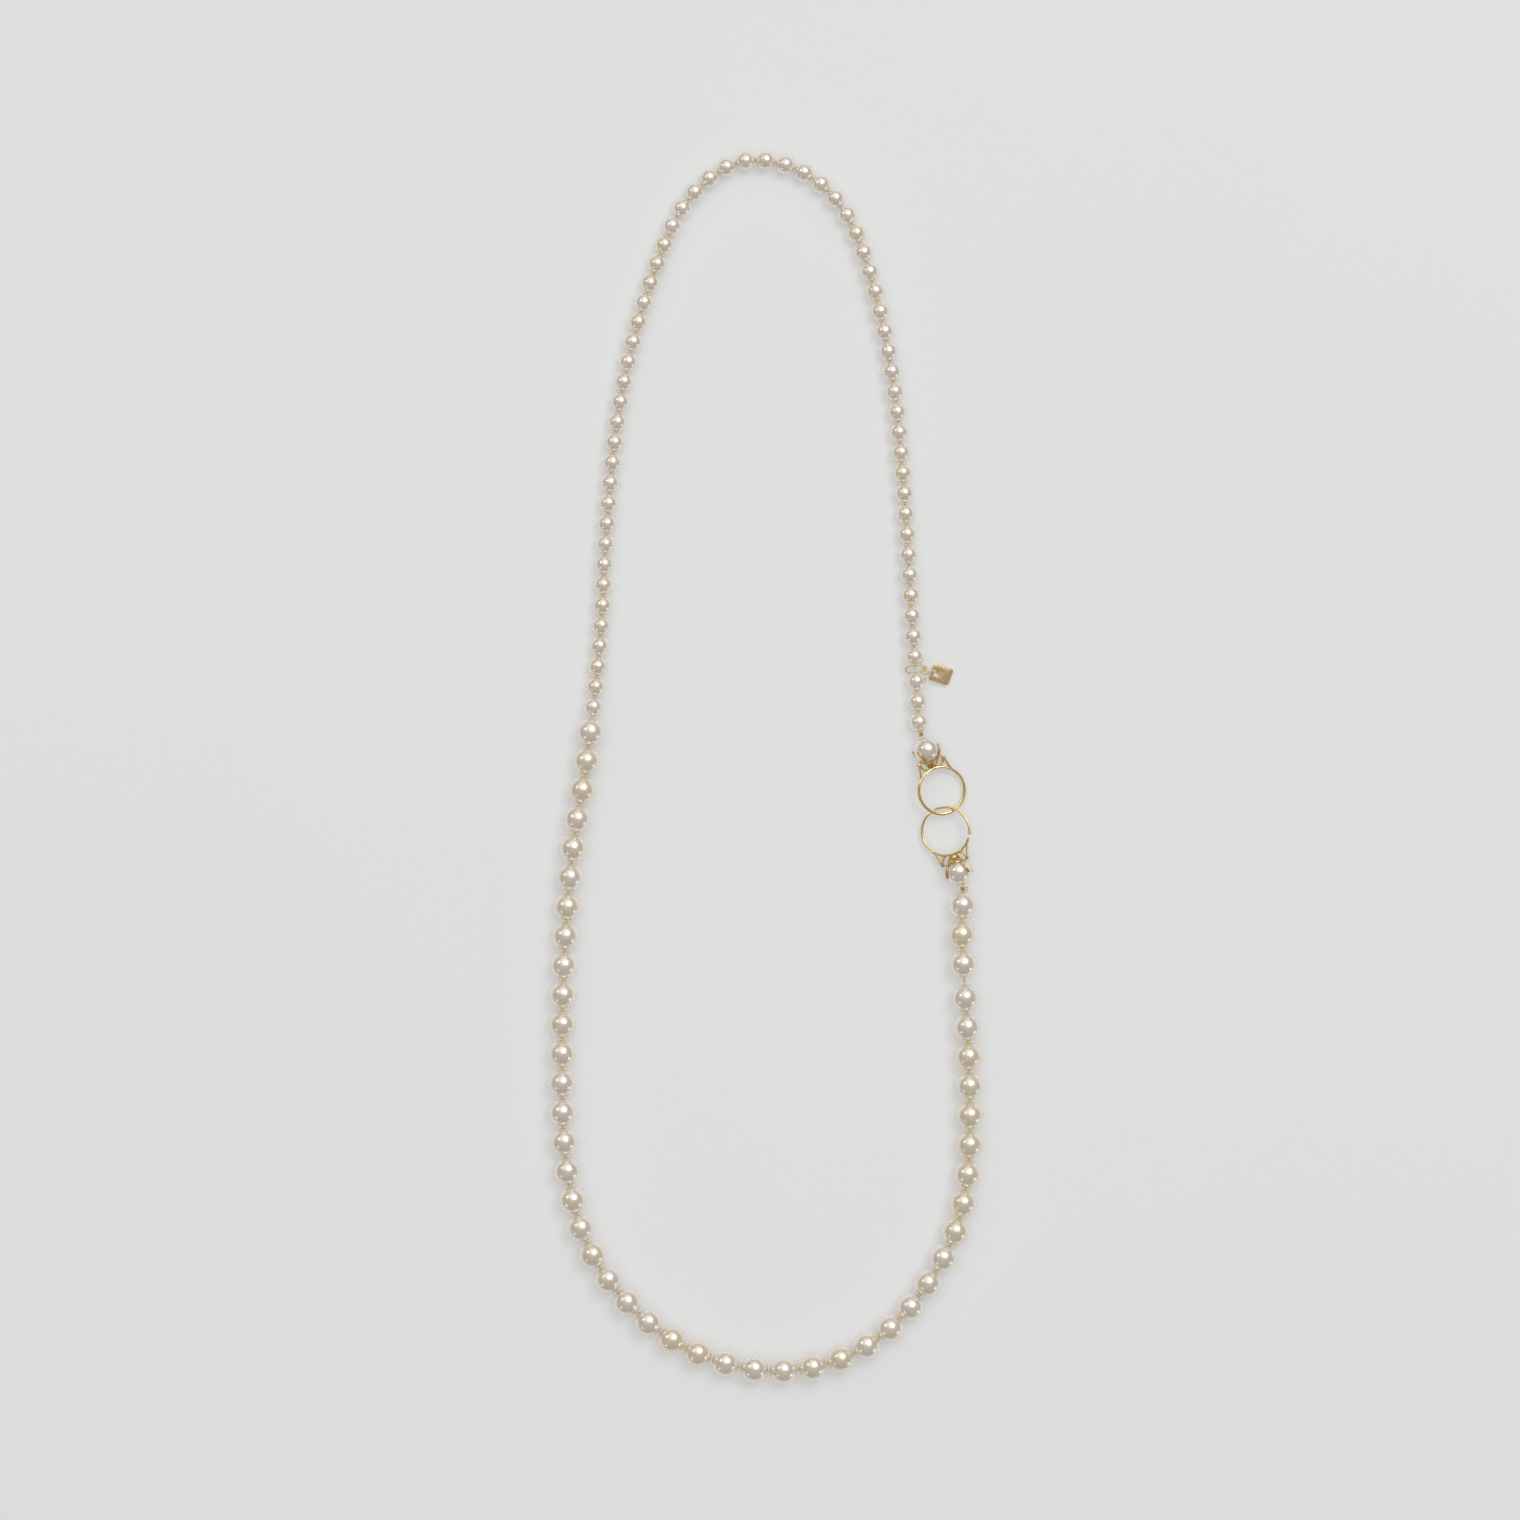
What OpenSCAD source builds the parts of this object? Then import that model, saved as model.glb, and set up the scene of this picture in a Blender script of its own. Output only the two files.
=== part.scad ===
// Opera-length pearl necklace: a graduated two-size strand, knotted on silk and
// closed by two interlocked finger-ring shanks that each carry a set pearl.
// Z is up, the strand lies flat on Z = 0, and the loop is long in Y.

/* [Strand] */
// Diameter of the small pearls
small_pearl_d = 7; // [5.5:0.1:9]
// Diameter of the large pearls
large_pearl_d = 10; // [8:0.1:12.5]
// Space that a knot leaves between two small pearls
small_knot_gap = 0.3; // [0.2:0.05:0.8]
// Space that a knot leaves between two large pearls
large_knot_gap = 0.5; // [0.3:0.05:1]
// Diameter of the drilled hole through each pearl
bore_d = 0.8; // [0.7:0.05:1]
// Diameter of the silk
silk_d = 0.6; // [0.4:0.05:0.65]
// Diameter of a silk knot
knot_d = 1.1; // [0.95:0.05:1.3]

/* [Clasp rings] */
// Finger hole of the upper ring
upper_hole_d = 15.4; // [13:0.1:19]
// Finger hole of the lower ring
lower_hole_d = 16; // [13:0.1:19]
// Thickness of the upper ring's shank
upper_shank_d = 1.36; // [1:0.02:1.6]
// Thickness of the lower ring's shank
lower_shank_d = 1.1; // [0.9:0.02:1.3]
// Diameter of the pearl set on each ring
set_pearl_d = 9.5; // [8:0.1:12]
// Height of the pearl's seat above the shank
seat_rise = 1.5; // [1.2:0.1:2.5]
// Thickness of a prong
prong_d = 0.8; // [0.6:0.05:1]
// Thickness of the gallery wire under the pearl
gallery_wire_d = 0.56; // [0.4:0.02:0.7]
// Width of the pierced shoulders along the finger
shoulder_w = 2; // [1.4:0.1:2.2]
// Width of the bars around each shoulder window
shoulder_bar = 0.8; // [0.6:0.05:1]
// Opening cut in the lower ring's shank
shank_gap = 1.1; // [0.8:0.1:2]
// Lean of each ring, one side up and one side down
ring_lean = 13; // [11:0.5:16]
// Slack between the two interlocked shanks
clasp_slack = 1; // [0.6:0.1:1.6]
// Diameter of the peg glued into a set pearl
peg_d = 0.8; // [0.6:0.05:1]

/* [Crimps and link] */
// Length of a crimp bead
crimp_l = 1.3; // [1:0.1:1.4]
// Diameter of a crimp bead
crimp_d = 2.1; // [1.6:0.1:2.4]
// Outer diameter of the ring beside the lower crimp
side_ring_d = 1.9; // [1.5:0.1:2.3]
// Outer diameter of the link ring in the large run
link_ring_d = 1.6; // [1.5:0.05:1.8]
// Wire of the link ring and of the ring beside the crimp
fine_wire_d = 0.36; // [0.3:0.02:0.4]
// Extra thread left between pearls for the link ring
link_room = 1.6; // [1.5:0.1:2.2]

/* [Charm] */
// Extra thread left between pearls for the charm ring
charm_room = 1.6; // [1.4:0.1:2.4]
// Outer diameter of the charm ring round the thread
charm_ring_d = 8; // [7.6:0.1:8.4]
// Wire of the charm ring
charm_wire_d = 0.8; // [0.6:0.05:0.9]
// Outer diameter of the two small links
charm_link_d = 3.2; // [2.8:0.1:3.6]
// Wire of the small links
charm_link_wire_d = 0.44; // [0.36:0.02:0.5]
// Length of the plain tag
tag_l = 7.6; // [6:0.1:10]
// Width of the plain tag
tag_w = 6.6; // [5:0.1:9]
// Thickness of the plain tag
tag_t = 1; // [0.8:0.1:1.2]
// Hole in the tag for the last link
tag_hole_d = 1.2; // [1:0.05:1.4]

/* [Hidden] */
$fn = 48;

// Pearls on each stiff stretch of the strand, from the upper ring to the join of the two sizes
small_groups = [3, 8, 8, 6, 4, 3, 3, 4, 6, 8, 8];
// and from the lower ring back to the same join
large_groups = [3, 6, 4, 4, 4, 4, 5, 8, 8];

small_r = small_pearl_d / 2;
large_r = large_pearl_d / 2;
set_r = set_pearl_d / 2;
bore_r = bore_d / 2;
silk_r = silk_d / 2;
knot_r = knot_d / 2;
small_pitch = small_pearl_d + small_knot_gap;
large_pitch = large_pearl_d + large_knot_gap;

pivot_clearance = 0.05;   // round a knot that the strand pivots on
seat_clearance = 0.06;    // between a knot and its countersunk seat
solder_clearance = 0.02;  // between a peg and its hole
crimp_gap = 0.3;          // between a crimp bead and the first pearl
crimp_start = knot_r + pivot_clearance;
crimp_room = crimp_start + crimp_l + crimp_gap;
join_flat = knot_r + 2 * seat_clearance - large_knot_gap / 2;  // ground off the pearl at the join

// Shape of the laid loop, from the upper ring over the top and round to the lower ring
loop_route = [
    [54.5, 24], [53, 45], [51, 78], [49, 107], [46, 137], [41, 164], [35, 185], [29.5, 198],
    [20, 209.5], [7, 216.5], [-8, 218], [-21, 211], [-31, 199.5], [-37, 186], [-44, 166],
    [-51, 138], [-55, 110], [-57.5, 80], [-59, 51], [-61.5, 24], [-64.5, 0], [-69, -28],
    [-72, -64], [-73, -100], [-72.5, -131], [-69.5, -154], [-63, -173], [-51, -190],
    [-35, -204], [-15.5, -213], [5.5, -216], [26.5, -212], [45, -200.5], [58.5, -184],
    [68.5, -165], [72.5, -144], [73, -113], [71.5, -82], [70, -55]
];
route_samples = 8;        // points worked out between two points of the route

// ---- small vector helpers ----
function sum(v, i = 0) = i < len(v) ? v[i] + sum(v, i + 1) : 0;
function first(v, n) = n > 0 ? [for (i = [0 : n - 1]) v[i]] : [];
function backwards(v) = [for (i = [len(v) - 1 : -1 : 0]) v[i]];
function unit(v) = v / norm(v);
function flat(v) = [v[0], v[1]];
function turn_z(v, a) = [v[0] * cos(a) - v[1] * sin(a), v[0] * sin(a) + v[1] * cos(a), v[2]];
function turn_y(v, a) = [v[0] * cos(a) + v[2] * sin(a), v[1], v[2] * cos(a) - v[0] * sin(a)];
function compass(a, up = 0) = [cos(a) * cos(up), sin(a) * cos(up), sin(up)];
function two_digits(i) = i < 10 ? str("0", i) : str(i);

// ---- clasp layout: two shanks passed through each other ----
upper_wire_r = upper_shank_d / 2;
lower_wire_r = lower_shank_d / 2;
upper_ring_r = upper_hole_d / 2 + upper_wire_r;
lower_ring_r = lower_hole_d / 2 + lower_wire_r;
prong_r = prong_d / 2;
gallery_wire_r = gallery_wire_d / 2;
upper_head = 110.6;       // compass bearing from ring centre to set pearl
lower_head = -72.5;
upper_exit = 119;         // bearing at which the silk leaves each set pearl
lower_exit = -67;
clasp_bearing = -84;      // from the upper ring's centre to the lower's
upper_ring_at = [63, -8];
ring_spacing = upper_hole_d / 2 + lower_hole_d / 2 - clasp_slack;

function seat_height(ring_r, wire_r) = ring_r + wire_r + seat_rise + set_r;
upper_reach = seat_height(upper_ring_r, upper_wire_r);
lower_reach = seat_height(lower_ring_r, lower_wire_r);
upper_arm = turn_y(compass(upper_head), ring_lean) * upper_reach;
lower_arm = turn_y(compass(lower_head), -ring_lean) * lower_reach;
lower_ring_at = upper_ring_at + ring_spacing * flat(compass(clasp_bearing));
upper_centre = [upper_ring_at[0], upper_ring_at[1], set_r - upper_arm[2]];
lower_centre = [lower_ring_at[0], lower_ring_at[1], set_r - lower_arm[2]];
upper_set_pearl = upper_centre + upper_arm;
lower_set_pearl = lower_centre + lower_arm;
exit_reach = set_r + large_knot_gap / 2;
upper_pivot = upper_set_pearl + exit_reach * compass(upper_exit, -4);
lower_pivot = lower_set_pearl
    + exit_reach * compass(lower_exit, asin((large_r - lower_set_pearl[2]) / exit_reach));

// ---- the strand's route, scaled so that its length is the strand's own ----
small_count = sum(small_groups);
large_count = sum(large_groups);
small_start = crimp_room - small_knot_gap / 2;
join_at = small_start + small_count * small_pitch + charm_room;
strand_length = join_at + large_count * large_pitch + link_room
    + crimp_room - large_knot_gap / 2;

function blend(p, q, a, b, t) = p * (b - t) / (b - a) + q * (t - a) / (b - a);
function spline(p, u) =
    let (
        a = sqrt(norm(p[1] - p[0])),
        b = a + sqrt(norm(p[2] - p[1])),
        c = b + sqrt(norm(p[3] - p[2])),
        t = a + (b - a) * u,
        k = blend(p[0], p[1], 0, a, t),
        m = blend(p[1], p[2], a, b, t),
        n = blend(p[2], p[3], b, c, t)
    )
    blend(blend(k, m, 0, b, t), blend(m, n, a, c, t), a, b, t);

// the clasp's own size stays, so the loop grows about the clasp
clasp_middle = (flat(upper_pivot) + flat(lower_pivot)) / 2;
function guide(k) =
    let (
        scaled = [for (p = loop_route) clasp_middle + k * (p - clasp_middle)],
        start = flat(upper_pivot),
        end = flat(lower_pivot),
        lead = start - 3 * flat(compass(upper_exit)),
        trail = end - 3 * flat(compass(lower_exit))
    )
    concat([lead, start], scaled, [end, trail]);
function route(k) =
    let (g = guide(k), spans = len(g) - 3)
    concat(
        [for (i = [0 : spans - 1], j = [0 : route_samples - 1])
            spline([g[i], g[i + 1], g[i + 2], g[i + 3]], j / route_samples)],
        [g[len(g) - 2]]
    );
function run_lengths(r) =
    [for (i = 0, s = 0; i < len(r); s = s + (i < len(r) - 1 ? norm(r[i + 1] - r[i]) : 0), i = i + 1) s];
function route_length(k) = let (s = run_lengths(route(k))) s[len(s) - 1];
function fitted(k, rounds) =
    rounds == 0 ? k : fitted(k * strand_length / route_length(k), rounds - 1);

path = route(fitted(1, 4));
path_run = run_lengths(path);
path_x = [for (i = [0 : len(path) - 1]) [path_run[i], path[i][0]]];
path_y = [for (i = [0 : len(path) - 1]) [path_run[i], path[i][1]]];

// ---- heights: every pearl rests on the surface, and the small ones climb to what they meet ----
ramp = 3 * small_pitch;
function climb(s) = s < ramp ? pow(1 - s / ramp, 2) : 0;
function height(s) =
    s >= join_at ? large_r
    : small_r + (upper_pivot[2] - small_r) * climb(s) + (large_r - small_r) * climb(join_at - s);
function raw_point(s) = [lookup(s, path_x), lookup(s, path_y), height(s)];

// ---- stations of the knots along the strand ----
before_charm = small_groups[0];
before_link = large_groups[0];
function small_station(i) =
    small_start + i * small_pitch + (i > before_charm ? charm_room : 0);
function large_station(i) =
    strand_length - crimp_room + large_knot_gap / 2 - i * large_pitch
    - (i > before_link ? link_room : 0);

// a pearl sits midway between its two knots, and the first one in line with its crimp
function first_ends(pivot, far, pitch) = [far + pitch * unit(pivot - far), far];
function small_ends(i) =
    i == 0 ? first_ends(upper_pivot, raw_point(small_station(1)), small_pitch)
    : [raw_point(small_station(i) + (i == before_charm ? charm_room : 0)),
       raw_point(small_station(i + 1))];
function large_ends(i) =
    i == 0 ? first_ends(lower_pivot, raw_point(large_station(1)), large_pitch)
    : [raw_point(large_station(i) - (i == before_link ? link_room : 0)),
       raw_point(large_station(i + 1))];
function middle(ends) = (ends[0] + ends[1]) / 2;
small_places = [for (i = [0 : small_count - 1]) middle(small_ends(i))];
large_places = [for (i = [0 : large_count - 1]) middle(large_ends(i))];

// the origin is under the middle of the loop's box
loop_low = [for (a = [0 : 1])
    min(min([for (p = small_places) p[a]]) - small_r, min([for (p = large_places) p[a]]) - large_r)];
loop_high = [for (a = [0 : 1])
    max(max([for (p = small_places) p[a]]) + small_r, max([for (p = large_places) p[a]]) + large_r)];
shift = -[loop_low[0] + loop_high[0], loop_low[1] + loop_high[1], 0] / 2;

function small_from(g) = sum(first(small_groups, g));
function large_from(g) = sum(first(large_groups, g));
function small_knot(i) = raw_point(small_station(i)) + shift;
function large_knot(i) = raw_point(large_station(i)) + shift;
charm_far_knot = raw_point(small_station(before_charm) + charm_room) + shift;
link_far_end = raw_point(large_station(before_link) - link_room) + shift;

// the knots of one stretch, from the one it pivots on
function small_knots(g) =
    concat(
        g == 0 ? [upper_pivot + shift] : [],
        g == 1 ? [small_knot(before_charm), charm_far_knot] : [],
        [for (i = [small_from(g) + (g == 1 ? 1 : 0) : small_from(g + 1)]) small_knot(i)]
    );
function large_knots(g) =
    concat(
        g == 0 ? [lower_pivot + shift] : [],
        g == 1 ? [link_far_end] : [],
        [for (i = [large_from(g) + (g == 1 ? 1 : 0) : large_from(g + 1)]) large_knot(i)]
    );

// ---- building blocks ----
module along(p, q) {
    d = q - p;
    translate(p) rotate([0, acos(d[2] / norm(d)), atan2(d[1], d[0])]) children();
}

module rod(p, q, r) {
    along(p, q) cylinder(h = norm(q - p), r = r);
}

module ring(outer_d, wire_d) {
    rotate_extrude() translate([outer_d / 2 - wire_d / 2, 0]) circle(d = wire_d, $fn = 24);
}

// a pearl between its two knots, drilled through with a seat for each knot
module pearl(ends, d, gap, far_flat = 0) {
    half = (d + gap) / 2;
    along(middle(ends) + shift, ends[1] + shift) difference() {
        sphere(d = d);
        cylinder(h = 2 * half, r = bore_r, center = true, $fn = 24);
        translate([0, 0, -half]) sphere(r = knot_r + seat_clearance);
        if (far_flat == 0) translate([0, 0, half]) sphere(r = knot_r + seat_clearance);
        if (far_flat > 0) translate([0, 0, d / 2 - far_flat]) cylinder(h = d, r = d / 2);
    }
}

// silk through a row of knots: lead and trail are the bare lengths left out at its two ends
module silk(knots, lead = knot_r + pivot_clearance, trail = knot_r / 2, last_knot = true) {
    n = len(knots) - 1;
    for (i = [0 : n - 1]) {
        way = unit(knots[i + 1] - knots[i]);
        start = knots[i] + way * (i == 0 ? lead : knot_r / 2);
        end = knots[i + 1] - way * (i == n - 1 ? trail : knot_r / 2);
        rod(start, end, silk_r, $fn = 24);
    }
    for (i = [1 : last_knot ? n : n - 1]) knot(knots[i], knots[i] - knots[i - 1]);
}

// a knot is turned so that its start line stays clear of the thread through it
module knot(at, way) {
    translate(at) rotate([0, 0, atan2(way[1], way[0]) + 90]) sphere(r = knot_r);
}

// ---- strand ----
module small_pearls(g) {
    color("ivory")
    for (i = [small_from(g) : small_from(g + 1) - 1]) pearl(small_ends(i), small_pearl_d, small_knot_gap);
}

module large_pearls(g) {
    color("linen")
    for (i = [large_from(g) : large_from(g + 1) - 1])
        pearl(large_ends(i), large_pearl_d, large_knot_gap, i == large_count - 1 ? join_flat : 0);
}

// the first stretch is held by its crimp, so it has no knot against its first pearl
module small_silk(g) {
    k = small_knots(g);
    color("khaki")
    if (g == 0) silk(concat([k[0]], [for (i = [2 : len(k) - 1]) k[i]]));
    else silk(k);
}

// the silk loops through the link ring on both sides of it, and stops clear of the join's knot
loop_wire_r = 0.1;
loop_r = 0.38;
link_ring_r = (link_ring_d - fine_wire_d) / 2;
link_near = large_knot(before_link);
link_middle = (link_near + link_far_end) / 2;
link_along = unit(link_far_end - link_near);
link_pivot_near = link_middle - link_ring_r * link_along;
link_pivot_far = link_middle + link_ring_r * link_along;

module silk_loop(pivot) {
    translate(pivot) ring(2 * (loop_r + loop_wire_r), 2 * loop_wire_r);
}

module large_silk(g) {
    k = large_knots(g);
    n = len(k) - 1;
    last = len(large_groups) - 1;
    color("khaki") {
        if (g == 0) {
            silk(concat([k[0]], [for (i = [2 : n - 1]) k[i]], [link_pivot_near - loop_r * link_along]),
                trail = 0, last_knot = false);
            silk_loop(link_pivot_near);
        }
        if (g == 1) {
            silk(concat([link_pivot_far + loop_r * link_along], [for (i = [1 : n]) k[i]]), lead = 0);
            silk_loop(link_pivot_far);
        }
        if (g > 1 && g < last) silk(k);
        if (g == last) silk(k, trail = knot_r + pivot_clearance, last_knot = false);
    }
}

// ---- clasp rings: local Z is the finger's axis, local +Y points to the set pearl ----
module ring_frame(centre, head, lean) {
    translate(centre + shift) rotate([0, lean, 0]) rotate([0, 0, head - 90]) children();
}

shoulder_angle = 52;      // from the head to where a shoulder leaves the shank
prong_spread = 25;        // of each prong from the plane of the ring
prong_bottom = 67;        // how far round under the pearl a prong starts
prong_top = 10;           // how far past the pearl's middle it ends
head_r = 3.1;             // clear radius round the seat
gallery_below = 40;       // angle under the pearl's middle at which the gallery wire runs
gallery_in = 0.04;        // that the gallery wire's middle lies inside the prongs'
tip_beside_pearl = 0.35;  // from the pearl's side out to a shoulder's tip
tip_under_gallery = 0.02; // from the gallery wire down to that tip
shoulder_out = set_r + tip_beside_pearl;
gallery_r = set_r + seat_clearance + prong_r - gallery_in;
tip_below_pearl = gallery_r * sin(gallery_below) + gallery_wire_r + tip_under_gallery;
cup_r = 2.95;
cup_foot_r = 1.7;
cup_lip = 0.6;            // how far the cup's rim stands up round the pearl
peg_depth = 3.6;

module shank_wire(ring_r, wire_r) {
    rotate_extrude() translate([ring_r, 0]) circle(r = wire_r, $fn = 32);
}

module shank(ring_r, wire_r, reach) {
    tip = [shoulder_out, reach - tip_below_pearl];
    foot = ring_r * [sin(shoulder_angle), cos(shoulder_angle)];
    top = ring_r + wire_r;
    shank_wire(ring_r, wire_r);
    for (side = [0, 1]) mirror([side, 0, 0]) difference() {
        translate([0, 0, -shoulder_w / 2]) linear_extrude(shoulder_w)
            shoulder_outline(tip, foot, [head_r, top - wire_r], shoulder_bar);
        translate([0, 0, -shoulder_w]) cylinder(h = 2 * shoulder_w, r = ring_r - wire_r * 0.4, $fn = 96);
    }
}

// a triangular frame: foot on the shank, tip beside the pearl, root beside the seat
module shoulder_outline(tip, foot, root, bar) {
    mid = (tip + foot + root) / 3;
    inset = 1 - 2.4 * bar / norm(tip - foot);
    difference() {
        polygon([foot, tip, tip + [-bar * 0.9, 0], root]);
        polygon([for (p = [foot, tip, root]) mid + inset * (p - mid)]);
    }
}

module head(ring_r, wire_r, reach) {
    arc_r = set_r + seat_clearance + prong_r;
    cup_base = ring_r + wire_r / 2;
    difference() {
        union() {
            translate([0, cup_base, 0]) rotate([-90, 0, 0])
                cylinder(h = reach - set_r + cup_lip - cup_base, r1 = cup_foot_r, r2 = cup_r);
            for (a = [prong_spread, -prong_spread, 180 - prong_spread, 180 + prong_spread])
                translate([0, reach, 0]) rotate([0, a, 0]) prong(arc_r);
            translate([0, reach - gallery_r * sin(gallery_below), 0]) rotate([-90, 0, 0])
                ring(2 * (gallery_r * cos(gallery_below) + gallery_wire_r), gallery_wire_d);
        }
        translate([0, reach, 0]) sphere(r = set_r + solder_clearance, $fn = 64);
        shank_wire(ring_r, wire_r);
        translate([0, ring_r, 0]) rotate([-90, 0, 0])
            cylinder(h = reach, r = peg_d / 2 + solder_clearance, $fn = 24);
    }
}

// one prong: from inside the cup round the pearl to a rounded claw
module prong(arc_r) {
    rotate([0, 0, -prong_bottom])
        rotate_extrude(angle = prong_bottom + prong_top) translate([arc_r, 0]) circle(r = prong_r, $fn = 24);
    translate(arc_r * [cos(prong_top), sin(prong_top), 0] + [prong_r * 0.12, 0, 0])
        sphere(r = prong_r * 1.2, $fn = 24);
}

module peg(ring_r, wire_r, reach) {
    bottom = ring_r + wire_r;
    translate([0, bottom, 0]) rotate([-90, 0, 0])
        cylinder(h = reach - set_r + peg_depth - bottom, d = peg_d, $fn = 24);
}

// the set pearl, drilled from below for its peg and from outside for the silk
module set_pearl(centre, arm, pivot) {
    peg_mouth = centre - unit(arm) * (set_r + 1);
    color("seashell") difference() {
        translate(centre + shift) sphere(d = set_pearl_d);
        rod(peg_mouth + shift, centre + shift - unit(arm) * (set_r - peg_depth - 0.2),
            peg_d / 2 + solder_clearance, $fn = 24);
        rod(centre + shift, pivot + shift, bore_r, $fn = 24);
        translate(pivot + shift) sphere(r = knot_r + seat_clearance);
    }
}

// silk anchored in the set pearl, ending in the knot that the strand pivots on
module anchor_silk(centre, pivot) {
    inside = centre + (pivot - centre) * 0.35;
    color("khaki") {
        rod(inside + shift, pivot + shift, silk_r, $fn = 24);
        knot(pivot + shift, pivot - centre);
    }
}

module upper_ring_shank() {
    color("goldenrod") ring_frame(upper_centre, upper_head, ring_lean)
        shank(upper_ring_r, upper_wire_r, upper_reach);
}

module upper_ring_head() {
    color("gold") ring_frame(upper_centre, upper_head, ring_lean)
        head(upper_ring_r, upper_wire_r, upper_reach);
}

module upper_ring_peg() {
    color("darkgoldenrod") ring_frame(upper_centre, upper_head, ring_lean)
        peg(upper_ring_r, upper_wire_r, upper_reach);
}

module upper_ring_pearl() {
    set_pearl(upper_set_pearl, upper_arm, upper_pivot);
}

module upper_ring_silk() {
    anchor_silk(upper_set_pearl, upper_pivot);
}

// the lower ring's shank is cut through beside one shoulder
module lower_ring_shank() {
    cut_angle = 62.5;     // from the head round to the middle of the cut
    color("goldenrod") ring_frame(lower_centre, lower_head, -ring_lean) difference() {
        shank(lower_ring_r, lower_wire_r, lower_reach);
        rotate([0, 0, cut_angle]) translate([0, lower_ring_r, 0])
            cube([shank_gap, 3 * lower_shank_d, 2 * lower_shank_d], center = true);
    }
}

module lower_ring_head() {
    color("gold") ring_frame(lower_centre, lower_head, -ring_lean)
        head(lower_ring_r, lower_wire_r, lower_reach);
}

module lower_ring_peg() {
    color("darkgoldenrod") ring_frame(lower_centre, lower_head, -ring_lean)
        peg(lower_ring_r, lower_wire_r, lower_reach);
}

module lower_ring_pearl() {
    set_pearl(lower_set_pearl, lower_arm, lower_pivot);
}

module lower_ring_silk() {
    anchor_silk(lower_set_pearl, lower_pivot);
}

// ---- crimps ----
function crimp_axis(knots) = unit(knots[2] - knots[0]);

module crimp_bead(knots) {
    axis = crimp_axis(knots);
    near = knots[0] + crimp_start * axis;
    r = crimp_d / 2;
    hole = silk_r + solder_clearance;
    chamfer = crimp_l * 0.22;
    along(near, near + axis) rotate_extrude($fn = 32) polygon([
        [hole, 0], [r - chamfer, 0], [r, chamfer],
        [r, crimp_l - chamfer], [r - chamfer, crimp_l], [hole, crimp_l]
    ]);
}

module upper_crimp() {
    color("gold") crimp_bead(small_knots(0));
}

module lower_crimp() {
    color("gold") crimp_bead(large_knots(0));
}

// a small ring soldered to the outer side of the lower crimp
module lower_crimp_ring() {
    knots = large_knots(0);
    axis = crimp_axis(knots);
    outward = [-axis[1], axis[0], 0];
    middle_at = knots[0] + (crimp_start + crimp_l / 2) * axis;
    side = crimp_d / 2 + fine_wire_d / 2 + solder_clearance;
    color("darkgoldenrod") translate(middle_at + outward * side)
        rotate([0, 0, atan2(axis[1], axis[0])]) rotate([90, 0, 0]) ring(side_ring_d, fine_wire_d);
}

module link_ring() {
    color("darkgoldenrod") translate(link_middle)
        rotate([0, 0, atan2(link_along[1], link_along[0])]) rotate([90, 0, 0])
            ring(link_ring_d, fine_wire_d);
}

// ---- charm ----
charm_lean = 25;          // of the charm ring away from square across the thread
charm_hook = 30;          // how far below its right-hand side the first link hangs
charm_play = 0.3;         // slack between two links
tag_bearing = -20;

charm_ring_r = (charm_ring_d - charm_wire_d) / 2;
charm_link_r = (charm_link_d - charm_link_wire_d) / 2;
charm_thread = unit(charm_far_knot - small_knot(before_charm));
charm_bearing = atan2(charm_thread[1], charm_thread[0]) - 90;
charm_height = charm_ring_d / 2 * cos(charm_lean) + 0.15;
charm_centre = [
    for (a = [0 : 2]) a < 2 ? (charm_far_knot[a] + small_knot(before_charm)[a]) / 2 : charm_height
];
function charm_way(v) = turn_z(v, charm_bearing);
charm_down = charm_way([0, -sin(charm_lean), -cos(charm_lean)]);
charm_side = charm_way([1, 0, 0]);
charm_radial = cos(charm_hook) * charm_side + sin(charm_hook) * charm_down;
charm_tangent = cos(charm_hook) * charm_down - sin(charm_hook) * charm_side;
hook_point = charm_centre + charm_ring_r * charm_radial;

module charm_ring() {
    color("goldenrod") translate(charm_centre) rotate([0, 0, charm_bearing])
        rotate([90 - charm_lean, 0, 0]) ring(charm_ring_d, charm_wire_d);
}

first_link = charm_centre
    + (charm_ring_r + charm_link_r - charm_wire_d / 2 - charm_link_wire_d / 2 - charm_play) * charm_radial;

// local Z of a link is its hole's axis
module link_at(centre, axis) {
    along(centre, centre + axis) ring(charm_link_d, charm_link_wire_d);
}

module charm_link_1() {
    color("gold") link_at(first_link, charm_tangent);
}

link_way = unit([charm_radial[0], charm_radial[1], -0.13]);
second_link = first_link
    + (2 * charm_link_r - charm_link_wire_d - charm_play) * link_way;
second_axis = unit(cross(link_way, [0, 0, 1]));

module charm_link_2() {
    color("gold") link_at(second_link, second_axis);
}

tag_pivot = second_link + charm_link_r * unit([link_way[0], link_way[1], 0]);

// a plain rounded tag with a hole near one end, lying with its far end on the surface
module charm_tag() {
    corner = tag_w * 0.16;
    margin = tag_hole_d / 2 + 0.75;
    drop = asin((tag_pivot[2] - tag_t / 2) / (tag_l - margin + tag_t / 2));
    color("gold") translate(tag_pivot) rotate([0, drop, tag_bearing])
        translate([-margin, 0, -tag_t / 2]) difference() {
            linear_extrude(tag_t) union() {
                translate([corner, -tag_w / 2]) square([tag_l - 2 * corner, tag_w]);
                translate([0, corner - tag_w / 2]) square([tag_l, tag_w - 2 * corner]);
                for (x = [corner, tag_l - corner], y = [-1, 1])
                    translate([x, y * (tag_w / 2 - corner)]) circle(r = corner, $fn = 32);
            }
            translate([margin, 0, -1]) cylinder(h = tag_t + 2, d = tag_hole_d, $fn = 32);
        }
}

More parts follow.
